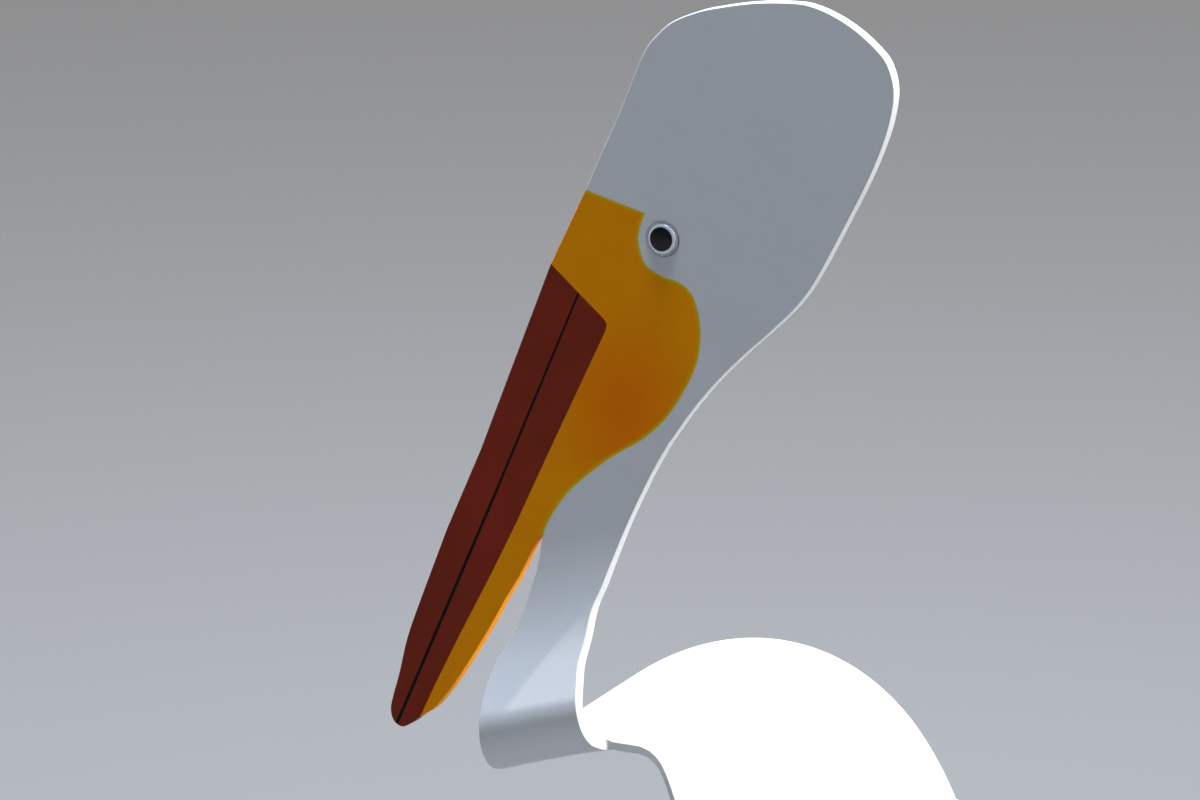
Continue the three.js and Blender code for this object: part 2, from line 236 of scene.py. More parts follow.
def spread(u):
    """One line of the breast, from the curl at v = 0 to the body at v = 1.

    u picks the line, from 0 at the throat to 1 at the nape. Each place has its way up.
    """

    def edge(s):
        return lerp(throat(s), nape(s), u)

    start, start_up, along = on_neck(CURL_END, edge(CURL_END))
    along = along + ACROSS * (edge(CURL_END) - edge(CURL_END - 1))
    w = BACK_HALF * (2 * u - 1)
    end, end_up, backward, outward = on_body(front_of_back(w), w)
    turn = math.radians(NAPE_TURN) * u**3
    arrive = backward * math.cos(turn) + outward * math.sin(turn)
    reach = (end - start).length

    def at(v):
        lean = ease(min(v * (1 + NAPE_LEAD * u**3), 1))
        return (
            blend(start, along * reach, end, arrive * reach, v),
            start_up.lerp(end_up, lean).normalized(),
        )

    return at


# ---------------------------------------------------------------- outlines on the flat panel
def on_panel(s, t):
    """A place of the flat part of the neck, as a flat point of the head panel."""
    point = on_neck(s, t)[0]
    return Vector((point.x, point.z))


crown = smooth([
    (-53.6, -15.7), (-36.9, 17.9), (-29.8, 33.6), (-21.2, 51.5), (-14.6, 67.1), (-8.5, 80.4),
    (-1.4, 88.8), (5, 93.8), (14.4, 97.9), (23.7, 100.6), (42.4, 104.2), (60.9, 105.5),
    (70.1, 104.5), (79.3, 101.4), (88.5, 96.6), (97, 90.4), (103.7, 83.2), (107, 72),
    (105.2, 58.6), (100.9, 45.6), (95.1, 32.4), (88.3, 19.1), (73.8, -7.9), (64.6, -21.6),
    (51.5, -35), (39.9, -45.5), (25.4, -60), (13.6, -74.2), (3.4, -88.6),
], 224)
tip = smooth([
    (-117.5, -169.9), (-124.5, -188.6), (-128.9, -205.8), (-132.1, -216.7), (-133.3, -222.8),
    (-131.9, -227.8), (-127.8, -230.2), (-123, -228), (-118.2, -224.3), (-111.8, -219.9),
    (-106.6, -214.2), (-100.2, -205.8), (-91.7, -192.9), (-83.4, -179.4), (-76.2, -166.8),
    (-69.1, -155.1), (-62.3, -141.6), (-59, -136.4),
], 160)
culmen = [Vector((-104.8, -138.1)), Vector((-88, -101))]     # the bill's upper edge
nape_line = [on_panel(s, nape(s)) for s in steps(NECK_TOP, NECK_FLAT, 16)]
throat_line = [on_panel(s, throat(s)) for s in steps(NECK_FLAT, CROTCH, 2)]
chin = [on_panel(s, throat(s)) for s in steps(CROTCH, NECK_TOP, 18)]

# The orange's edge: across the brow, round behind the face and down to the chin.
face_back = smooth([
    (-8.4, 10.2), (-10.9, 3.6), (-11.4, -3), (-8.3, -11.6), (-0.7, -16.2), (8.5, -18.6),
    (14.3, -23.8), (17.4, -33.4), (17.8, -43.9), (14.6, -56.8), (4.1, -74.8), (-7.4, -86.6),
    (-18.4, -93.8),
], 130)
face_edge = [
    *(Vector(p) for p in ((-60, 25.3), (-37, 18.1), (-8.4, 10.2))),
    *face_back[1:-1],
    *reversed(chin),
]
# The bill's edge inside the panel, and the line along its middle.
bill_edge = [
    *(Vector(p) for p in ((-58, -10.8), (-53.6, -15.7), (-28.4, -37))),
    *smooth([(-28.4, -37), (-26.7, -39.4), (-27.4, -43)], 12)[1:],
    *(Vector(p) for p in (
        (-54.1, -97.6), (-70.5, -131.7), (-82.8, -155.7), (-98.2, -184.3), (-111.1, -209.3),
        (-117.9, -223.4), (-122, -236),
    )),
]
bill_middle = smooth([(-38.6, -24), (-71.8, -99.4), (-87, -133.5), (-130.2, -229)], 40)
LINE_WIDTHS = (0.95, 1.5)       # at the top and at the tip


def ribbon(line, widths):
    """A closed outline along a line, from one width to another."""
    left, right = [], []
    for i, (p, side) in enumerate(zip(line, sides(line))):
        offset = side * (lerp(*widths, i / (len(line) - 1)) / 2)
        left.append(p + offset)
        right.append(p - offset)
    return left + right[::-1]


def sides(line):
    """The flat way across a line at each of its points."""
    found = []
    for i in range(len(line)):
        d = (line[min(i + 1, len(line) - 1)] - line[max(i - 1, 0)]).normalized()
        found.append(Vector((-d.y, d.x)))
    return found


# ---------------------------------------------------------------- the middle of the sheet
OUTLINE_CLEAR, AREA_CLEAR = 1.3, 0.5    # how far inner dots keep from the lines, mm
WELD = 1 / 40                           # points closer than this are one, mm


def distances(points, line):
    """How far each flat point is from a line of flat points."""
    p = np.array([tuple(q) for q in points])
    nearest = np.full(len(p), np.inf)
    for a, b in zip(line, line[1:]):
        a, b = np.array(a), np.array(b)
        d = b - a
        t = np.clip((p - a) @ d / max(d @ d, 1e-12), 0, 1)
        nearest = np.minimum(nearest, np.linalg.norm(p - a - t[:, None] * d, axis=1))
    return nearest


def inside(points, outline):
    """Which flat points lie inside a closed outline."""
    p = np.array([tuple(q) for q in points])
    found = np.zeros(len(p), bool)
    for (ax, ay), (bx, by) in zip(outline, outline[1:] + outline[:1]):
        if ay != by:
            crosses = (ay > p[:, 1]) != (by > p[:, 1])
            found ^= crosses & (p[:, 0] < (bx - ax) * (p[:, 1] - ay) / (by - ay) + ax)
    return found


def counter_clockwise(loop):
    loop = [tuple(p) for p in loop]
    area = sum(a[0] * b[1] - b[0] * a[1] for a, b in zip(loop, loop[1:] + loop[:1]))
    return loop if area > 0 else loop[::-1]


def flat_net(outline, areas, spacing, extra=()):
    """Triangles that fill an outline: flat points, and faces with the areas that each lies in."""
    x, y = zip(*outline)
    dots = [
        (a, b)
        for a in np.arange(min(x) + spacing / 2, max(x), spacing)
        for b in np.arange(min(y) + spacing / 2, max(y), spacing)
    ] + [tuple(p) for p in extra]
    clear = inside(dots, outline) & (distances(dots, outline + outline[:1]) > OUTLINE_CLEAR)
    for area in areas:
        clear &= distances(dots, list(area) + [area[0]]) > AREA_CLEAR
    loops = [counter_clockwise(loop) for loop in (outline, *areas)]
    points = [p for loop in loops for p in loop]
    faces, first = [], 0
    for loop in loops:
        faces.append(list(range(first, first + len(loop))))
        first += len(loop)
    points += [dot for dot, keep in zip(dots, clear) if keep]
    net = geometry.delaunay_2d_cdt([Vector(p) for p in points], [], faces, 1, 1e-4, True)
    places = [points[ids[0]] if ids else tuple(p) for p, ids in zip(net[0], net[3])]
    filled = [(list(f), set(ids)) for f, ids in zip(net[2], net[5]) if 0 in ids]
    return places, filled


class Middle:
    """The middle surface of a sheet: points with the way up, and faces by colour.

    Exact points take the way up as the surface's direction. The others take it from the faces.
    """

    def __init__(self):
        self.points, self.ups, self.exact = [], [], []
        self.faces, self.colours, self.seen = [], [], {}

    def vertex(self, point, way_up, exact=True):
        key = tuple(round(c / WELD) for c in point)
        if key not in self.seen:
            self.seen[key] = len(self.points)
            self.points.append(Vector(point))
            self.ups.append(Vector(way_up))
            self.exact.append(exact)
        return self.seen[key]

    def face(self, corners, colour="white"):
        corners = list(dict.fromkeys(corners))
        if len(corners) > 2:
            self.faces.append(corners)
            self.colours.append(colour)

    def grid(self, rows, exact=True):
        ids = [[self.vertex(*place[:2], exact) for place in row] for row in rows]
        for near, far in zip(ids, ids[1:]):
            for i in range(len(near) - 1):
                self.face((near[i], near[i + 1], far[i + 1], far[i]))

    def net(self, places, filled, place, colour=lambda areas: "white"):
        ids = [self.vertex(*place(*p)[:2]) for p in places]
        for corners, areas in filled:
            corners = [ids[i] for i in corners]
            a, b, c = (self.points[i] for i in corners[:3])
            if (b - a).cross(c - a).dot(self.ups[corners[0]]) < 0:
                corners.reverse()
            self.face(corners, colour(areas))

    def outline(self):
        """Each corner of the real outline, with the corners before and after it."""
        edges = set()
        for f in self.faces:
            edges.update(zip(f, f[1:] + f[:1]))
        free = [(a, b) for a, b in edges if (b, a) not in edges]
        after, before = dict(free), {b: a for a, b in free}
        if not len(free) == len(after) == len(before):
            raise ValueError("the sheet's outline isn't one clean line")
        return after, before

    def normals(self):
        """The sheet's true direction at each point."""
        found = [Vector() for _ in self.points]
        for f in self.faces:
            a, b, c = (self.points[i] for i in (f[0], f[1], f[-1]))
            normal = (b - a).cross(c - a)
            for i in f:
                found[i] += normal
        return [u if e else n.normalized() for u, e, n in zip(self.ups, self.exact, found)]


ROUNDING = (0, 30, 60, 90)      # an arris from the flat to the side, degrees
LONGEST_MITRE = 1.5             # an arris reaches in no further than this share at a corner


def thickened(name, middle, colours, half, arris):
    """The closed solid of the middle's faces of these colours, as a mesh object.

    The real outline has rounded arrises. Where another colour starts, the side is square.
    """
    after, before = middle.outline()
    true = middle.normals()
    columns, points, normals, edge_mask = {}, [], [], []

    def column(i):
        if i in columns:
            return columns[i]
        point, up = middle.points[i], middle.ups[i]
        rows = []
        if i in after:
            d = [
                up.cross((point - middle.points[before[i]]).normalized()),
                up.cross((middle.points[after[i]] - point).normalized()),
            ]
            inward = (d[0] + d[1]).normalized()
            reach = arris * min(1 / max(inward.dot(d[0]), 0.1), LONGEST_MITRE)
            for side in (1, -1):
                part = []
                for degrees in ROUNDING:
                    a = math.radians(degrees)
                    part.append((
                        point + inward * reach * (1 - math.sin(a))
                        + up * side * (half - arris * (1 - math.cos(a))),
                        (true[i] * side * math.cos(a) - inward * math.sin(a)).normalized(),
                        float(degrees > 0),
                    ))
                rows += part if side > 0 else part[::-1]
        else:
            rows = [(point + up * half, true[i], 0.0), (point - up * half, -true[i], 0.0)]
        columns[i] = list(range(len(points), len(points) + len(rows)))
        for place, normal, mask in rows:
            points.append(placed(place))
            normals.append(normal)
            edge_mask.append(mask)
        return columns[i]

    chosen = [f for f, c in zip(middle.faces, middle.colours) if c in colours]
    kinds = [c for c in middle.colours if c in colours]
    faces, materials, flat_faces = [], [], set()

    def add(face, kind, square=False):
        if square:
            flat_faces.add(len(faces))
        faces.append(face)
        materials.append(colours.index(kind))

    edges = {}
    for f, kind in zip(chosen, kinds):
        add([column(i)[0] for i in f], kind)
        add([column(i)[-1] for i in reversed(f)], kind)
        for edge in zip(f, f[1:] + f[:1]):
            edges[edge] = kind
    for (a, b), kind in edges.items():
        if (b, a) in edges:
            continue
        if after.get(a) == b:
            for k in range(len(columns[a]) - 1):
                add([columns[b][k], columns[a][k], columns[a][k + 1], columns[b][k + 1]], kind)
            if (b, after[b]) not in edges:
                add(columns[b], kind, True)
            if (before[a], a) not in edges:
                add(columns[a][::-1], kind, True)
        else:
            add([columns[b][0], columns[a][0], columns[a][-1], columns[b][-1]], kind, True)
    mesh = bpy.data.meshes.new(name)
    mesh.from_pydata(points, [], faces)
    mesh.polygons.foreach_set("material_index", materials)
    mesh.update()
    mask = mesh.attributes.new("cut_edge", "FLOAT", "POINT")
    mask.data.foreach_set("value", edge_mask)
    corner_normals = []
    for polygon in mesh.polygons:
        polygon.use_smooth = True
        square = polygon.index in flat_faces
        corner_normals += [polygon.normal if square else normals[v] for v in polygon.vertices]
    mesh.normals_split_custom_set(corner_normals)
    piece = bpy.data.objects.new(name, mesh)
    bpy.context.scene.collection.objects.link(piece)
    return piece


# ---------------------------------------------------------------- the whole sheet, bent
COLUMNS = 24                # across the neck and the breast
NECK_ROWS, CURL_ROWS, BREAST_ROWS = 44, 24, 44
WING_STEPS, TAIL_STEPS = 40, 28
PANEL_SPACING, BODY_SPACING = 5, 2.5    # between the dots that fill a flat outline, mm
EDGE_GAP = 1.2              # the least gap between points on a wing's edge


def neck_row(s):
    return [on_neck(s, lerp(throat(s), nape(s), u)) for u in steps(0, 1, COLUMNS)]


def outward_steps():
    """Steps out over a wing that close up toward its tip."""
    shares = (math.sin(u * math.pi / 2) ** 0.9 for u in steps(0, 1, WING_STEPS))
    return [lerp(BACK_HALF, WING_REACH, share) for share in shares]


def thinned(line, gap):
    """A line without the points that lie closer together than the gap."""
    kept = [line[0]]
    for p in line[1:-1]:
        if (Vector(p) - Vector(kept[-1])).length > gap:
            kept.append(p)
    if len(kept) > 1 and (Vector(line[-1]) - Vector(kept[-1])).length < gap:
        kept.pop()
    return kept + [line[-1]]


def add_head_panel(sheet):
    """The flat head, pouch and bill, down to the line where the neck starts to bend."""
    fold = [(place[0].x, place[0].z) for place in reversed(neck_row(NECK_FLAT))]
    outline = [
        *crown[:-1], *nape_line[:-1], *fold[:-1], *throat_line, *reversed(tip), *culmen,
    ]
    outline = [tuple(p) for p in outline]
    # The painted areas run past the outline where they reach the panel's edge.
    around_pouch = [Vector(p) for p in (
        (-60.4, -142.8), (-65.2, -156), (-73, -175), (-73, -260), (-200, -260), (-200, 25.3)
    )]
    face = face_edge + around_pouch
    bill = bill_edge + [Vector((-200, -236)), Vector((-200, -10.8))]
    line = ribbon(bill_middle, LINE_WIDTHS)
    fine = [
        p + side * offset
        for p, side in zip(face_edge, sides(face_edge))
        for offset in (-2.2, -1.2, -0.6, 0.6, 1.2, 2.2)
    ]
    places, filled = flat_net(outline, [face, bill, line], PANEL_SPACING, fine)

    def on_flat(x, z):
        return Vector((x, 0, z)), BACK

    def colour(areas):
        if 2 in areas:
            return "line" if 3 in areas else "brown"
        return "orange" if 1 in areas else "white"

    sheet.net(places, filled, on_flat, colour)


def add_neck_and_breast(sheet):
    sweep = steps(NECK_FLAT, CURL_START, NECK_ROWS)
    curl = steps(CURL_START, CURL_END, CURL_ROWS)[1:]
    sheet.grid([neck_row(s) for s in sweep + curl])
    breast = [spread(u) for u in steps(0, 1, COLUMNS)]
    rows = [[column(v) for column in breast] for v in steps(0, 1, BREAST_ROWS)]
    # The rows that join the curl and the body are exact, so that no crease shows there.
    sheet.grid(rows[:1])
    sheet.grid(rows[-1:])
    sheet.grid(rows, False)


def add_body(sheet):
    """The back, both wings and the tail, as one outline of (out, back) places."""
    half_out = outward_steps()
    front = [(w, front_of_back(w)) for w in (
        BACK_HALF * (2 * u - 1) for u in steps(0, 1, COLUMNS)
    )]
    left = thinned([(w, left_front(w)) for w in half_out], EDGE_GAP)
    left_back = thinned([(w, wing_rear(w)) for w in reversed(half_out)], EDGE_GAP)
    tail_rows = [*steps(TAIL_FROM, TAIL_ROUND, TAIL_STEPS), 264, 266, 268, 269.2, TAIL_END]
    tail_left = [(tail_half(r), r) for r in tail_rows]
    tail_end = [(w, TAIL_END) for w in (3.5, 0, -3.5)]
    tail_right = [(-tail_half(r), r) for r in reversed(tail_rows)]
    right_back = thinned([(-w, wing_rear(w)) for w in half_out], EDGE_GAP)
    right = thinned([(-w, right_front(w)) for w in reversed(half_out)], EDGE_GAP)
    outline = [
        *front[:-1], *left, *left_back[:-1], *tail_left,
        *tail_end, *tail_right, *right_back[1:], *right[:-1],
    ]
    outline = list(dict.fromkeys((float(w), float(r)) for w, r in outline))
    places, filled = flat_net(outline, [], BODY_SPACING)
    sheet.net(places, filled, lambda w, r: on_body(r, w))


def sheet_middle():
    sheet = Middle()
    add_head_panel(sheet)
    add_neck_and_breast(sheet)
    add_body(sheet)
    return sheet


# ---------------------------------------------------------------- finishes
def put(tree, kind, inputs=None, **settings):
    """A shader node with its settings, and its inputs set or joined by name or number."""
    node = tree.nodes.new("ShaderNode" + kind)
    for name, value in settings.items():
        setattr(node, name, value)
    for name, value in (inputs or {}).items():
        if isinstance(value, bpy.types.NodeSocket):
            tree.links.new(value, node.inputs[name])
        else:
            node.inputs[name].default_value = value
    return node


def shared(tree, group, inputs):
    """A node that uses one of the shared effects."""
    return put(tree, "Group", inputs, node_tree=group)


def effect(name, inputs, outputs):
    """An empty node group with named inputs and outputs, and its two end nodes."""
    group = bpy.data.node_groups.new(name, "ShaderNodeTree")
    for label, kind, value in inputs:
        socket = group.interface.new_socket(label, in_out="INPUT", socket_type="NodeSocket" + kind)
        socket.default_value = value
    for label, kind in outputs:
        group.interface.new_socket(label, in_out="OUTPUT", socket_type="NodeSocket" + kind)
    return group, group.nodes.new("NodeGroupInput"), group.nodes.new("NodeGroupOutput")


def noise(tree, place, scale, detail=3.0, roughness=0.55):
    node = put(tree, "TexNoise", {
        "Vector": place, "Scale": scale, "Detail": detail, "Roughness": roughness,
    })
    return node.outputs["Fac"]


def ranged(tree, value, low, high, to_low=0.0, to_high=1.0):
    node = put(tree, "MapRange", {
        "Value": value, "From Min": low, "From Max": high, "To Min": to_low, "To Max": to_high,
    }, interpolation_type="SMOOTHSTEP")
    return node.outputs["Result"]


def math_of(tree, kind, a, b):
    return put(tree, "Math", {0: a, 1: b}, operation=kind).outputs[0]


def times(tree, a, b):
    return math_of(tree, "MULTIPLY", a, b)


def plus(tree, a, b):
    return math_of(tree, "ADD", a, b)


def larger(tree, a, b):
    return math_of(tree, "MAXIMUM", a, b)


def mixed(tree, amount, a, b):
    """The colour a turned by an amount into the colour b."""
    node = put(tree, "Mix", {0: amount, 6: a, 7: b}, data_type="RGBA", clamp_factor=True)
    return node.outputs[2]


def make_clouding():
    """Soft uneven tone, as of a coat gone over by hand: the colour drifts between two tones."""
    group, entry, leave = effect(
        "clouding",
        [("Vector", "Vector", (0, 0, 0)), ("Tone", "Color", (1, 1, 1, 1)),
         ("Other Tone", "Color", (0, 0, 0, 1)), ("Scale", "Float", 30.0)],
        [("Color", "Color"), ("Mask", "Float")],
    )
    place = entry.outputs["Vector"]
    broad = noise(group, place, entry.outputs["Scale"], 4.0)
    close = noise(group, place, times(group, entry.outputs["Scale"], 6.3), 2.0)
    both = plus(group, times(group, broad, 0.72), times(group, close, 0.28))
    mask = ranged(group, both, 0.36, 0.64)
    colour = mixed(group, mask, entry.outputs["Tone"], entry.outputs["Other Tone"])
    group.links.new(colour, leave.inputs["Color"])
    group.links.new(mask, leave.inputs["Mask"])
    return group


def make_fine_grain():
    """The small uneven surface of a rolled sheet or a sprayed coat, as a height."""
    group, entry, leave = effect(
        "fine_grain",
        [("Vector", "Vector", (0, 0, 0)), ("Scale", "Float", 900.0), ("Waviness", "Float", 0.5)],
        [("Height", "Float")],
    )
    place = entry.outputs["Vector"]
    fine = noise(group, place, entry.outputs["Scale"], 2.0, 0.6)
    slow = noise(group, place, times(group, entry.outputs["Scale"], 0.09), 2.0, 0.5)
    waves = times(group, slow, entry.outputs["Waviness"])
    group.links.new(plus(group, fine, waves), leave.inputs["Height"])
    return group


def make_scuffs():
    """Thin stray scratches and rubbed spots, as a mask."""
    group, entry, leave = effect(
        "scuffs",
        [("Vector", "Vector", (0, 0, 0)), ("Scale", "Float", 14.0), ("Amount", "Float", 0.5)],
        [("Mask", "Float")],
    )
    place = entry.outputs["Vector"]
    masks = []
    for turn, stretch in ((0.5, 26.0), (2.1, 34.0)):
        turned = put(group, "Mapping", {
            "Vector": place, "Rotation": (turn, turn * 0.7, turn), "Scale": (1.0, stretch, stretch),
        })
        lines = noise(group, turned.outputs[0], entry.outputs["Scale"], 1.0, 0.4)
        masks.append(ranged(group, lines, 0.73, 0.80))
    where = ranged(group, noise(group, place, 21.0, 2.0), 0.45, 0.62)
    both = times(group, larger(group, *masks), where)
    group.links.new(times(group, both, entry.outputs["Amount"]), leave.inputs["Mask"])
    return group


def make_settled_dust():
    """A little dust and weather on whatever faces up, thicker in patches."""
    group, entry, leave = effect(
        "settled_dust",
        [("Vector", "Vector", (0, 0, 0)), ("Color", "Color", (1, 1, 1, 1)),
         ("Dust", "Color", (0.3, 0.28, 0.24, 1)), ("Amount", "Float", 0.2)],
        [("Color", "Color"), ("Mask", "Float")],
    )
    shape = put(group, "NewGeometry")
    upward = put(group, "SeparateXYZ", {0: shape.outputs["Normal"]}).outputs["Z"]
    faces_up = ranged(group, upward, 0.15, 0.95)
    place = entry.outputs["Vector"]
    patches = ranged(group, noise(group, place, 38.0, 5.0, 0.62), 0.38, 0.70)
    specks = ranged(group, noise(group, place, 900.0, 1.0), 0.66, 0.74)
    cover = plus(group, times(group, faces_up, patches), times(group, specks, 0.35))
    mask = times(group, cover, entry.outputs["Amount"])
    colour = mixed(group, mask, entry.outputs["Color"], entry.outputs["Dust"])
    group.links.new(colour, leave.inputs["Color"])
    group.links.new(mask, leave.inputs["Mask"])
    return group


CLOUDING, FINE_GRAIN = make_clouding(), make_fine_grain()
SCUFFS, DUST = make_scuffs(), make_settled_dust()


class Finish:
    """A material that is being made, with the places and the effects that it draws on."""

    def __init__(self, name, **constants):
        self.material = bpy.data.materials.new(name)
        self.material.use_nodes = True
        self.tree = self.material.node_tree
        self.shader = self.tree.nodes["Principled BSDF"]
        for label, value in constants.items():
            self.shader.inputs[label.replace("_", " ")].default_value = value
        self.place = put(self.tree, "TexCoord").outputs["Object"]

    def clouded(self, tone, other, scale):
        return shared(self.tree, CLOUDING, {
            "Vector": self.place, "Tone": (*tone, 1), "Other Tone": (*other, 1), "Scale": scale,
        })

    def scuffed(self, scale, amount):
        return shared(self.tree, SCUFFS, {
            "Vector": self.place, "Scale": scale, "Amount": amount,
        }).outputs["Mask"]

    def noted(self, name):
        return put(self.tree, "Attribute", attribute_name=name).outputs["Fac"]

    def near(self, centre, reach):
        """1 at a place, given in millimetres from the eye, falling to 0 at the reach."""
        def vectors(kind, inputs):
            return put(self.tree, "VectorMath", inputs, operation=kind)

        away = vectors("SUBTRACT", {0: self.place, 1: placed(Vector(centre))}).outputs[0]
        shares = vectors("MULTIPLY", {0: away, 1: tuple(1 / (r * MM) for r in reach)}).outputs[0]
        length = vectors("LENGTH", {0: shares})
        return ranged(self.tree, length.outputs["Value"], 0.0, 1.0, 1.0, 0.0)

    def done(self, colour, roughness, grain, height, dust=0.0, waviness=0.5):
        """Joins colour, roughness and grain to the shader, under a little dust.

        The grain's scale is per metre, and its height is in millimetres.
        """
        if dust:
            dusty = shared(self.tree, DUST, {
                "Vector": self.place, "Color": colour, "Amount": dust,
            })
            colour = dusty.outputs["Color"]
            rougher = times(self.tree, dusty.outputs["Mask"], 0.35)
            roughness = plus(self.tree, roughness, rougher)
        self.tree.links.new(colour, self.shader.inputs["Base Color"])
        self.tree.links.new(roughness, self.shader.inputs["Roughness"])
        surface = shared(self.tree, FINE_GRAIN, {
            "Vector": self.place, "Scale": grain, "Waviness": waviness,
        })
        bump = put(self.tree, "Bump", {
            "Height": surface.outputs["Height"], "Distance": height * MM, "Strength": 1.0,
        })
        self.tree.links.new(bump.outputs["Normal"], self.shader.inputs["Normal"])
        return self.material


def white_plastic():
    f = Finish("weathered_white_plastic", IOR=1.5)
    cloud = f.clouded((0.765, 0.775, 0.78), (0.74, 0.755, 0.758), 34.0)
    scuffs = f.scuffed(16.0, 0.15)
    colour = mixed(f.tree, scuffs, cloud.outputs["Color"], (0.60, 0.61, 0.60, 1))
    # A breath of paint that drifted past the edge of the orange.
    edge = f.noted("paint_edge")
    drift = times(f.tree, ranged(f.tree, edge, 0.0, 0.9, 1.0, 0.0), 0.6)
    colour = mixed(f.tree, drift, colour, (0.70, 0.66, 0.24, 1))
    # The sawn edge is a little duller.
    sawn = f.noted("cut_edge")
    colour = mixed(f.tree, times(f.tree, sawn, 0.35), colour, (0.80, 0.80, 0.78, 1))
    rough = ranged(f.tree, cloud.outputs["Mask"], 0.0, 1.0, 0.36, 0.46)
    rough = plus(f.tree, rough, times(f.tree, sawn, 0.22))
    rough = plus(f.tree, rough, times(f.tree, scuffs, 0.3))
    return f.done(colour, rough, 700.0, 0.03, 0.06, 1.5)


def orange_airbrush():
    f = Finish("orange_airbrushed_paint", IOR=1.4, Specular_IOR_Level=0.08)
    cloud = f.clouded((0.97, 0.345, 0.0), (0.95, 0.320, 0.0), 42.0)
    deep = f.clouded((0.97, 0.205, 0.0), (0.94, 0.190, 0.0), 55.0)
    middle = times(f.tree, f.near((-19, 0, -76), (46, 400, 62)), 0.85)
    colour = mixed(f.tree, middle, cloud.outputs["Color"], deep.outputs["Color"])
    edge = f.noted("paint_edge")
    rim = times(f.tree, ranged(f.tree, edge, 0.2, 2.1, 1.0, 0.0), 0.9)
    colour = mixed(f.tree, rim, colour, (0.80, 0.52, 0.0, 1))
    scuffs = f.scuffed(18.0, 0.1)
    colour = mixed(f.tree, scuffs, colour, (0.95, 0.55, 0.12, 1))
    rough = ranged(f.tree, cloud.outputs["Mask"], 0.0, 1.0, 0.36, 0.46)
    return f.done(colour, rough, 820.0, 0.03, 0.02, 1.2)


def bill_brown():
    f = Finish("brown_bill_paint", IOR=1.4, Specular_IOR_Level=0.1)
    cloud = f.clouded((0.265, 0.031, 0.012), (0.225, 0.027, 0.011), 46.0)
    warm = f.near((-84, 0, -128), (30, 400, 70))
    colour = mixed(f.tree, times(f.tree, warm, 0.6), cloud.outputs["Color"],
                   (0.325, 0.030, 0.012, 1))
    scuffs = f.scuffed(20.0, 0.12)
    colour = mixed(f.tree, scuffs, colour, (0.42, 0.12, 0.07, 1))
    rough = ranged(f.tree, cloud.outputs["Mask"], 0.0, 1.0, 0.34, 0.44)
    return f.done(colour, rough, 820.0, 0.03, 0.02, 1.2)


def black_line():
    f = Finish("black_brushed_line", IOR=1.4, Specular_IOR_Level=0.08)
    cloud = f.clouded((0.006, 0.005, 0.005), (0.014, 0.008, 0.007), 120.0)
    rough = ranged(f.tree, cloud.outputs["Mask"], 0.0, 1.0, 0.30, 0.42)
    return f.done(cloud.outputs["Color"], rough, 900.0, 0.03)


def eye_backing():
    # Painted light: the backing glows a little, standing in for the light that the dome gathers on
    # to it, so that it looks brighter than the sheet.
    f = Finish("white_eye_backing_painted_glow", IOR=1.46, Emission_Strength=0.2)
    cloud = f.clouded((0.88, 0.88, 0.90), (0.80, 0.80, 0.82), 160.0)
    f.tree.links.new(cloud.outputs["Color"], f.shader.inputs["Emission Color"])
    rough = ranged(f.tree, cloud.outputs["Mask"], 0.0, 1.0, 0.25, 0.35)
    return f.done(cloud.outputs["Color"], rough, 1400.0, 0.01)


def eye_black():
    f = Finish("black_eye_pupil", IOR=1.4, Specular_IOR_Level=0.15)
    cloud = f.clouded((0.004, 0.004, 0.005), (0.007, 0.007, 0.009), 160.0)
    rough = ranged(f.tree, cloud.outputs["Mask"], 0.0, 1.0, 0.16, 0.24)
    return f.done(cloud.outputs["Color"], rough, 1400.0, 0.001)


def clear_plastic():
    """Clear moulded plastic. Shadow and soft light pass straight through it."""
    f = Finish("clear_eye_dome", IOR=1.25, Transmission_Weight=1.0)
    haze = ranged(f.tree, noise(f.tree, f.place, 500.0), 0.45, 0.7, 0.02, 0.07)
    cloud = f.clouded((0.97, 0.98, 1.0), (0.93, 0.95, 0.97), 300.0)
    material = f.done(cloud.outputs["Color"], haze, 1200.0, 0.004)
    path = put(f.tree, "LightPath")
    shadow = larger(f.tree, path.outputs["Is Shadow Ray"], path.outputs["Is Diffuse Ray"])
    passing = put(f.tree, "BsdfTransparent", {"Color": (0.90, 0.92, 0.94, 1)})
    mix = put(f.tree, "MixShader", {0: shadow, 1: f.shader.outputs[0], 2: passing.outputs[0]})
    f.tree.links.new(mix.outputs[0], f.tree.nodes["Material Output"].inputs["Surface"])
    return material


def bead_with_painted_shade():
    # A thin bead of adhesive round the dome's flange. Its dark grey is partly painted shade,
    # standing in for the contact shadow and the dark rim at the flange's foot.
    f = Finish("grey_glue_line", IOR=1.4, Specular_IOR_Level=0.2)
    cloud = f.clouded((0.10, 0.105, 0.115), (0.24, 0.25, 0.26), 210.0)
    rough = ranged(f.tree, cloud.outputs["Mask"], 0.0, 1.0, 0.6, 0.8)
    return f.done(cloud.outputs["Color"], rough, 1400.0, 0.02)


def stand_coating():
    f = Finish("grey_powder_coat", IOR=1.5)
    cloud = f.clouded((0.155, 0.160, 0.168), (0.135, 0.139, 0.146), 26.0)
    scuffs = f.scuffed(12.0, 0.6)
    colour = mixed(f.tree, scuffs, cloud.outputs["Color"], (0.30, 0.31, 0.32, 1))
    sawn = f.noted("cut_edge")
    colour = mixed(f.tree, times(f.tree, sawn, 0.25), colour, (0.24, 0.245, 0.25, 1))
    rough = ranged(f.tree, cloud.outputs["Mask"], 0.0, 1.0, 0.46, 0.58)
    return f.done(colour, rough, 1500.0, 0.05, 0.22, 0.3)


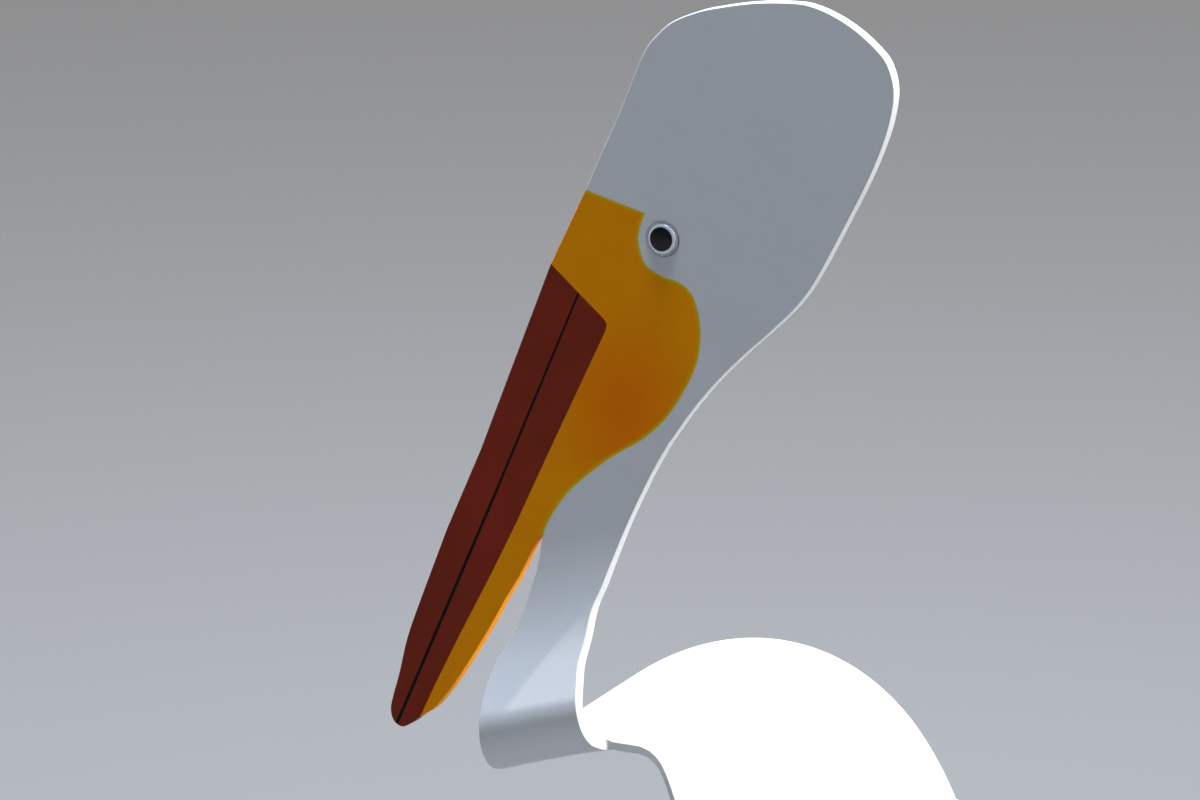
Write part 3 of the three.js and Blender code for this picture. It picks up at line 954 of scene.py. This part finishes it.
def rod_steel():
    f = Finish("brushed_rod_steel", IOR=1.5)
    f.shader.inputs["Metallic"].default_value = 1.0
    around = put(f.tree, "Mapping", {"Vector": f.place, "Scale": (1.0, 1.0, 60.0)}).outputs[0]
    rings = noise(f.tree, around, 60.0, 4.0, 0.7)
    colour = mixed(f.tree, ranged(f.tree, rings, 0.35, 0.65), (0.60, 0.61, 0.62, 1),
                   (0.50, 0.505, 0.51, 1))
    rough = ranged(f.tree, rings, 0.35, 0.65, 0.24, 0.38)
    return f.done(colour, rough, 1200.0, 0.008, 0.08)


def saddle_rubber():
    f = Finish("dark_saddle_rubber", IOR=1.5)
    cloud = f.clouded((0.030, 0.030, 0.032), (0.045, 0.045, 0.046), 60.0)
    rough = ranged(f.tree, cloud.outputs["Mask"], 0.0, 1.0, 0.62, 0.78)
    return f.done(cloud.outputs["Color"], rough, 1600.0, 0.04, 0.3)


# ---------------------------------------------------------------- the bird
def wear(piece, *materials):
    for material in materials:
        piece.data.materials.append(material)


def stand_in_for(piece, slot, *nodes):
    """Fixes a piece to the body, in place of the nodes that it shows."""
    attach(piece, "root")
    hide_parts(*nodes)


def note_paint_edge(piece):
    """Stores at each point how far it is from the orange's edge, up to a furthest, in mm."""
    furthest = 30.0
    away = [(v.co - EYE_AT) / MM for v in piece.data.vertices]
    flat = distances([(p.x, p.z) for p in away], face_edge)
    deep = np.array([max(abs(p.y) - HALF, 0.0) for p in away])
    edge = piece.data.attributes.new("paint_edge", "FLOAT", "POINT")
    edge.data.foreach_set("value", np.minimum(np.hypot(flat, deep), furthest))


sheet = sheet_middle()
bird = thickened("bent_white_sheet", sheet, ["white"], HALF, ARRIS)
pouch = thickened("painted_pouch", sheet, ["orange"], HALF, ARRIS)
bill = thickened("painted_bill", sheet, ["brown", "line"], HALF, ARRIS)
note_paint_edge(bird)
note_paint_edge(pouch)
wear(bird, white_plastic())
wear(pouch, orange_airbrush())
wear(bill, bill_brown(), black_line())
stand_in_for(bird, "white_sheet", "head", "neck", "breast", "back", "wing_left", "wing_right",
             "tail")
stand_in_for(pouch, "orange_paint", "pouch")
stand_in_for(bill, "bill_paint", "bill")


# ---------------------------------------------------------------- turned pieces
AROUND = 72                 # steps round a turned piece
CREASE = math.radians(35)   # sharper turns between faces than this show as edges


def circle(radius):
    """Flat points round a circle."""
    for i in range(AROUND):
        a = 2 * math.pi * i / AROUND
        yield math.cos(a) * radius, math.sin(a) * radius


def creased(name, points, faces):
    """A smooth piece with its sharp turns kept."""
    mesh = bpy.data.meshes.new(name)
    mesh.from_pydata(points, [], faces)
    mesh.shade_smooth()
    mesh.set_sharp_from_angle(angle=CREASE)
    piece = bpy.data.objects.new(name, mesh)
    bpy.context.scene.collection.objects.link(piece)
    return piece


def turned(name, profile, place, axis):
    """A closed solid turned round an axis, from (radius, height) pairs in millimetres."""
    side = axis.orthogonal().normalized()
    other = axis.cross(side)
    points, rings = [], []
    for radius, height in profile:
        here = place + axis * height * MM
        if radius == 0:
            rings.append([len(points)] * AROUND)
            points.append(here)
            continue
        rings.append(list(range(len(points), len(points) + AROUND)))
        points += [here + (side * a + other * b) * MM for a, b in circle(radius)]
    faces = []
    for near, far in zip(rings, rings[1:]):
        for i in range(AROUND):
            j = (i + 1) % AROUND
            corners = list(dict.fromkeys((near[i], near[j], far[j], far[i])))
            if len(corners) > 2:
                faces.append(corners)
    return creased(name, points, faces)


def arc(radius_x, radius_y, x, y, start, end, count):
    return [
        (x + radius_x * math.cos(math.radians(a)), y + radius_y * math.sin(math.radians(a)))
        for a in steps(start, end, count)
    ]


# The eyes: a clear dome with a flange, over a white backing and a loose black pupil. In mm.
FLANGE, DOME, BACKING, PUPIL = 7.6, 7.0, 6.35, 5.2      # radii
SHELL, DOME_HEIGHT, FLANGE_HEIGHT = 0.5, 3.3, 0.9
EYE_GAP = 0.02              # between an eye and the sheet
clear, backing_white, pupil_black, bead_shade = clear_plastic(), eye_backing(), eye_black(), bead_with_painted_shade()
for name, way in (("eye_left", -BACK), ("eye_right", BACK)):
    seat = placed(way * (HALF + EYE_GAP))
    dome = turned(f"{name}_clear_dome", [
        (DOME - SHELL, 0.0), (FLANGE - 0.15, 0.0), (FLANGE, 0.15), (FLANGE, FLANGE_HEIGHT - 0.25),
        (FLANGE - 0.25, FLANGE_HEIGHT), (DOME, FLANGE_HEIGHT),
        *arc(DOME, DOME_HEIGHT - FLANGE_HEIGHT, 0, FLANGE_HEIGHT, 8, 82, 12),
        (0, DOME_HEIGHT), (0, DOME_HEIGHT - SHELL),
        *arc(DOME - SHELL, DOME_HEIGHT - SHELL - FLANGE_HEIGHT, 0, FLANGE_HEIGHT, 82, 8, 12),
        (DOME - SHELL, FLANGE_HEIGHT), (DOME - SHELL, 0.0),
    ], seat, way)
    backing = turned(f"{name}_white_backing", [
        (0, 0.0), (BACKING, 0.0), (BACKING, 0.55), (BACKING - 0.12, 0.68), (0, 0.7),
    ], seat, way)
    pupil = turned(f"{name}_black_pupil", [
        (0, 1.05), (PUPIL - 0.15, 1.05), (PUPIL, 1.2), (PUPIL, 1.45),
        *arc(0.25, 0.2, PUPIL - 0.25, 1.45, 15, 90, 4), (PUPIL / 2, 1.72), (0, 1.76),
    ], seat, way)
    # A dark ring round the flange: a bead of adhesive, darkened as painted shade where the flange
    # meets the sheet.
    bead_and_shade_ring = turned(f"{name}_glue_line", [
        (FLANGE + 0.02, 0.0), (FLANGE + 0.34, 0.0), (FLANGE + 0.26, 0.14), (FLANGE + 0.12, 0.26),
        (FLANGE + 0.02, 0.30), (FLANGE + 0.02, 0.0),
    ], seat, way)
    for piece, material in ((dome, clear), (backing, backing_white), (pupil, pupil_black),
                            (bead_and_shade_ring, bead_shade)):
        wear(piece, material)
        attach(piece, "root")
    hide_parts(name)

# ---------------------------------------------------------------- the stand
rod_low, rod_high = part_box("stand_rod")
rod_radius = (rod_high.x - rod_low.x) / 2 / MM
rod_length = (rod_high.z - rod_low.z) / MM
rod_foot = Vector((*((rod_low + rod_high) / 2).xy, rod_low.z))
ROD_EDGE = 0.5              # the turned edge at each end
rod = turned("turned_rod", [
    (0, 0.0), (rod_radius - ROD_EDGE, 0.0), (rod_radius, ROD_EDGE),
    (rod_radius, rod_length - ROD_EDGE), (rod_radius - ROD_EDGE, rod_length), (0, rod_length),
], rod_foot, UP)
wear(rod, rod_steel())
stand_in_for(rod, "rod_steel", "stand_rod")

saddle_low, saddle_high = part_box("stand_saddle")
SADDLE_GAP = 0.3


def underside(x, y):
    """Height of the back's underside over a place, less a gap, in millimetres from the eye."""
    r, w = 74.0, 0.0            # a first guess, near the ridge's top
    for _ in range(12):
        point, way_up = on_body(r, w)[:2]
        point = point - way_up * (HALF + SADDLE_GAP)
        miss = Vector((x - point.x, y - point.y, 0))
        r += miss.dot(AWAY)
        w += miss.dot(TO_LEFT)
    return point.z


def saddle():
    """The rubber block on the rod, hollowed on top to the curve of the back."""
    centre = (rod_foot - EYE_AT) / MM
    radius = (saddle_high.x - saddle_low.x) / 2 / MM
    bottom = (saddle_low.z - EYE_AT.z) / MM
    points, rings = [Vector((centre.x, centre.y, bottom))], []

    def ring(size, height_at):
        rings.append(list(range(len(points), len(points) + AROUND)))
        for a, b in circle(size):
            x, y = centre.x + a, centre.y + b
            points.append(Vector((x, y, height_at(x, y))))

    foot = radius * 0.8
    for size, height in ((foot - 0.6, 0.0), (foot, 0.6), (radius * 0.9, 4.2)):
        ring(size, lambda x, y: bottom + height)
    shoulder = ((radius, 0.7), (radius - 0.6, 0.05))
    hollow = ((radius * share, 0.0) for share in (0.85, 0.7, 0.55, 0.4, 0.25, 0.1))
    for size, drop in (*shoulder, *hollow):
        ring(size, lambda x, y: underside(x, y) - drop)
    top = len(points)
    points.append(Vector((centre.x, centre.y, underside(centre.x, centre.y))))
    faces = []
    for near, far in zip(rings, rings[1:]):
        faces += [(near[i - 1], near[i], far[i], far[i - 1]) for i in range(AROUND)]
    for i in range(AROUND):
        faces.append((0, rings[0][i], rings[0][i - 1]))
        faces.append((top, rings[-1][i - 1], rings[-1][i]))
    return creased("rubber_saddle", [placed(p) for p in points], faces)


rubber = saddle()
wear(rubber, saddle_rubber())
stand_in_for(rubber, "saddle_rubber", "stand_saddle")


def base_plate():
    """The flat base: a rounded plate with eased edges, turned to run along the body."""
    low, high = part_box("stand_base")
    corners = [v.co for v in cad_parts["stand_base"].data.vertices]
    along, across = [p.dot(AWAY) for p in corners], [p.dot(TO_LEFT) for p in corners]
    centre = AWAY * (min(along) + max(along)) / 2 + TO_LEFT * (min(across) + max(across)) / 2
    centre.z = (low.z + high.z) / 2
    bevel, spacing = 1.2, 12
    corner = 24 + bevel
    half_length = (max(along) - min(along)) / MM / 2 - corner
    half_width = (max(across) - min(across)) / MM / 2 - corner
    outline = []
    for sx, sy, turn in ((1, 1, 0), (-1, 1, 90), (-1, -1, 180), (1, -1, 270)):
        outline += arc(corner, corner, sx * half_length, sy * half_width, turn, turn + 90, 16)
    middle = (centre - EYE_AT) / MM
    plate = Middle()
    places, filled = flat_net(outline, [], spacing)
    plate.net(places, filled, lambda a, b: (middle + AWAY * a + TO_LEFT * -b, UP))
    return thickened("base_plate", plate, ["white"], (high.z - low.z) / MM / 2, bevel)


base = base_plate()
wear(base, stand_coating())
stand_in_for(base, "base_paint", "stand_base")

# ---------------------------------------------------------------- floor, light and camera
FLOOR = 40                  # metres each way, so that its edge stays out of sight
floor_mesh = bpy.data.meshes.new("floor")
floor_mesh.from_pydata(
    [(-FLOOR, -FLOOR, 0), (FLOOR, -FLOOR, 0), (FLOOR, FLOOR, 0), (-FLOOR, FLOOR, 0)],
    [], [(0, 1, 2, 3)],
)
floor = bpy.data.objects.new("floor", floor_mesh)
bpy.context.scene.collection.objects.link(floor)
pale = Finish("pale_floor", IOR=1.3)
tone = pale.clouded((0.172, 0.172, 0.171), (0.169, 0.169, 0.168), 0.4)
dull = ranged(pale.tree, tone.outputs["Mask"], 0, 1, 0.8, 0.9)
wear(floor, pale.done(tone.outputs["Color"], dull, 300.0, 0.001))

world = bpy.data.worlds.new("soft_sky")
bpy.context.scene.world = world
world.use_nodes = True
sky = world.node_tree.nodes["Background"].inputs
sky["Color"].default_value = (0.09, 0.112, 0.142, 1)
sky["Strength"].default_value = 1.0


def lamp(name, kind, toward, strength, colour, **settings):
    """A light that shines from the way given."""
    data = bpy.data.lights.new(name, kind)
    data.energy = strength
    data.color = colour
    for label, value in settings.items():
        setattr(data, label, value)
    light = bpy.data.objects.new(name, data)
    light.rotation_euler = Vector(toward).to_track_quat("Z", "Y").to_euler()
    bpy.context.scene.collection.objects.link(light)
    return light


lamp("key", "SUN", (0.50, 0.15, 0.85), 4.3, (1.0, 0.97, 0.93), angle=math.radians(2))
lamp("low_fill", "SUN", (0.80, 0.58, 0.13), 2.4, (1.0, 0.98, 0.96), angle=math.radians(30))

overhead = lamp("overhead_softbox", "AREA", (0.03, -0.02, 1), 82.0, (0.89, 1.0, 1.2), size=0.6)
overhead.location = placed(Vector((60, -10, 1900)))

VIEW_AZIMUTH, VIEW_ELEVATION, LENS = 27, 12.5, 200     # degrees, degrees, mm
VIEW_DISTANCE, LOOK_AT = 2860, Vector((-31.3, 0, -73.8))    # mm, from the eye
azimuth, elevation = math.radians(VIEW_AZIMUTH), math.radians(VIEW_ELEVATION)
toward_camera = Vector((
    math.sin(azimuth) * math.cos(elevation), -math.cos(azimuth) * math.cos(elevation),
    math.sin(elevation),
))
camera_data = bpy.data.cameras.new("camera")
camera_data.lens = LENS
camera_data.clip_end = 100
camera = bpy.data.objects.new("camera", camera_data)
camera.location = placed(LOOK_AT + toward_camera * VIEW_DISTANCE)
camera.rotation_euler = toward_camera.to_track_quat("Z", "Y").to_euler()
bpy.context.scene.collection.objects.link(camera)
bpy.context.scene.camera = camera
bpy.context.scene.view_settings.view_transform = "Standard"
